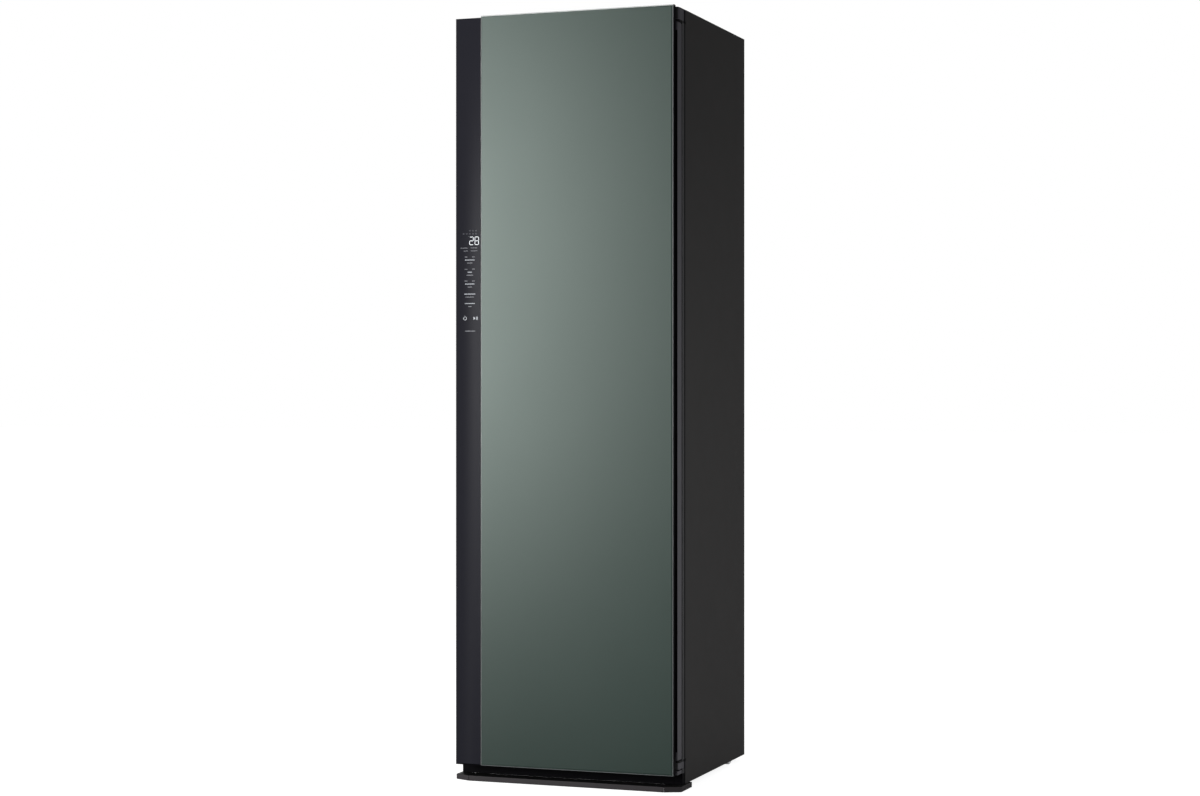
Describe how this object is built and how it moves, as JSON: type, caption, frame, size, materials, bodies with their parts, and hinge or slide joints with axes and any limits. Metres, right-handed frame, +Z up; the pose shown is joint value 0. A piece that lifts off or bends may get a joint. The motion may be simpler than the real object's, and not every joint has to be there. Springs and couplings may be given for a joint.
{
  "type": "clothes care steam cabinet",
  "caption": "Tall glass-fronted cabinet that steams and dries hanging clothes, with a right-hung door, moving hanger rail, trouser press, two water tanks and a heat pump base.",
  "frame": {"origin": "floor point at the middle of the footprint", "axes": "+Z up from the floor, -Y out of the door's glass face, +X to the hinge side"},
  "size_m": [0.6104, 0.596, 1.96],
  "materials": {
    "green_glass": "satin tinted glass, grey-green",
    "black_glass": "gloss black glass",
    "black_trim": "matt black",
    "door_metal": "satin dark grey paint",
    "case_metal": "fine matt charcoal paint",
    "zinc": "galvanised sheet",
    "steel": "plain steel",
    "liner_plastic": "matt grey",
    "tub_plastic": "satin grey",
    "seal_rubber": "matt black rubber",
    "strip_plastic": "matt brown-grey",
    "pale_plastic": "matt pale grey",
    "board_green": "solder-masked board",
    "smoke_plastic": "clear smoke-grey plastic",
    "aluminium": "mill finish",
    "felt": "felt-faced board",
    "cable_rubber": "matt black"
  },
  "bodies": {
    "cabinet": {"top_hinge_bracket": "steel", "bottom_hinge_bracket": "steel", "top_hinge_cover": "liner_plastic", "bottom_hinge_cover": "liner_plastic", "side_panel_left": "case_metal", "side_panel_right": "case_metal", "top_panel": "case_metal", "back_panel": "zinc", "machine_cover": "zinc", "cord_gland": "cable_rubber", "front_frame": "liner_plastic", "plinth": "black_trim", "base_strip": "strip_plastic", "base_strip_end_left": "strip_plastic", "base_strip_end_right": "strip_plastic", "base_pan": "zinc", "inner_tub": "tub_plastic", "outlet_grille": "liner_plastic", "lamp_lens": "smoke_plastic", "steam_nozzle": "pale_plastic", "tank_bay": "liner_plastic", "drive_belt": "seal_rubber", "drive_chassis": "zinc", "drive_motor": "steel", "heat_exchanger": "aluminium", "compressor": "case_metal", "blower_housing": "liner_plastic", "steam_generator": "pale_plastic", "steam_hose": "seal_rubber", "control_box": "pale_plastic"},
    "door": {"door_glass": "green_glass", "control_strip": "black_glass", "door_face_frame": "black_trim", "display_board": "board_green", "door_shell": "door_metal", "door_liner": "liner_plastic", "door_gasket": "seal_rubber", "press_backing": "felt", "trouser_clip_bar": "liner_plastic"},
    "press": {"press_plate": "liner_plastic"},
    "clip_left": {"trouser_clip_left": "pale_plastic"},
    "clip_right": {"trouser_clip_right": "pale_plastic"},
    "hanger": {"hanger_yoke": "pale_plastic", "hanger_rail": "aluminium"},
    "crank": {"crank_pulley": "pale_plastic"},
    "pinion": {"motor_pulley": "steel"},
    "supply_tank_body": {"supply_tank": "smoke_plastic", "supply_tank_lid": "liner_plastic"},
    "supply_bail": {"supply_tank_handle": "pale_plastic"},
    "drain_tank_body": {"drain_tank": "smoke_plastic", "drain_tank_lid": "liner_plastic"},
    "drain_bail": {"drain_tank_handle": "pale_plastic"},
    "filter": {"lint_filter": "pale_plastic"},
    "fragrance": {"fragrance_case": "pale_plastic"},
    "shelf_body": {"shelf": "steel"},
    "fan": {"blower_wheel": "pale_plastic"},
    "wheel_left": {"roller_left": "pale_plastic"},
    "wheel_right": {"roller_right": "pale_plastic"},
    "foot_left": {"levelling_foot_left": "seal_rubber"},
    "foot_right": {"levelling_foot_right": "seal_rubber"}
  },
  "joints": [
    {"name": "door_hinge", "type": "hinge", "parent": "cabinet", "child": "door", "pos_m": [0.286, -0.266, 1], "axis": [0, 0, 1], "range_deg": [0, 110]},
    {"name": "press_hinge", "type": "hinge", "parent": "door", "child": "press", "pos_m": [0.206, -0.23195, 1.1], "axis": [0, 0, -1], "range_deg": [0, 90]},
    {"name": "clip_left_pivot", "type": "hinge", "parent": "door", "child": "clip_left", "pos_m": [-0.045, -0.2307, 1.586], "axis": [1, 0, 0], "range_deg": [0, 20], "stiffness_Nm_per_rad": 0.3, "springref_deg": -17.19},
    {"name": "clip_right_pivot", "type": "hinge", "parent": "door", "child": "clip_right", "pos_m": [0.105, -0.2307, 1.586], "axis": [1, 0, 0], "range_deg": [0, 20], "stiffness_Nm_per_rad": 0.3, "springref_deg": -17.19},
    {"name": "hanger_slide", "type": "slide", "parent": "cabinet", "child": "hanger", "axis": [1, 0, 0], "range_m": [-0.0156, 0.0156]},
    {"name": "crank_spin", "type": "hinge", "parent": "cabinet", "child": "crank", "pos_m": [0, -0.008, 1.829], "axis": [0, 0, 1], "range_deg": [-60.2, 60.2]},
    {"name": "pinion_spin", "type": "hinge", "parent": "cabinet", "child": "pinion", "pos_m": [0.13, -0.008, 1.829], "axis": [0, 0, 1], "range_deg": [-252, 252]},
    {"name": "supply_tank_slide", "type": "slide", "parent": "cabinet", "child": "supply_tank_body", "axis": [0, -1, 0], "range_m": [0, 0.044]},
    {"name": "supply_bail_pivot", "type": "hinge", "parent": "supply_tank_body", "child": "supply_bail", "pos_m": [-0.12535, -0.115, 0.3646], "axis": [1, 0, 0], "range_deg": [0, 90]},
    {"name": "drain_tank_slide", "type": "slide", "parent": "cabinet", "child": "drain_tank_body", "axis": [0, -1, 0], "range_m": [0, 0.044]},
    {"name": "drain_bail_pivot", "type": "hinge", "parent": "drain_tank_body", "child": "drain_bail", "pos_m": [0.12535, -0.115, 0.3646], "axis": [1, 0, 0], "range_deg": [0, 90]},
    {"name": "filter_lift", "type": "slide", "parent": "cabinet", "child": "filter", "axis": [0, 0, 1], "range_m": [0, 0.12]},
    {"name": "fragrance_lift", "type": "slide", "parent": "cabinet", "child": "fragrance", "axis": [0, 0, 1], "range_m": [0, 0.12]},
    {"name": "shelf_lift", "type": "slide", "parent": "cabinet", "child": "shelf_body", "axis": [0, 0, 1], "range_m": [0, 0.08]},
    {"name": "fan_spin", "type": "hinge", "parent": "cabinet", "child": "fan", "pos_m": [0, 0.14, 0.342], "axis": [0, 1, 0], "continuous": true},
    {"name": "roller_left_spin", "type": "hinge", "parent": "cabinet", "child": "wheel_left", "pos_m": [-0.2765, 0.207, 0.022], "axis": [1, 0, 0], "continuous": true},
    {"name": "roller_right_spin", "type": "hinge", "parent": "cabinet", "child": "wheel_right", "pos_m": [0.2765, 0.207, 0.022], "axis": [1, 0, 0], "continuous": true},
    {"name": "foot_left_screw", "type": "slide", "parent": "cabinet", "child": "foot_left", "axis": [0, 0, -1], "range_m": [0, 0.012]},
    {"name": "foot_right_screw", "type": "slide", "parent": "cabinet", "child": "foot_right", "axis": [0, 0, -1], "range_m": [0, 0.012]}
  ],
  "couplings": [
    {"joint": "crank_spin", "follows": "hanger_slide", "rad_per_m": 67.13},
    {"joint": "pinion_spin", "follows": "hanger_slide", "rad_per_m": 281.06}
  ]
}
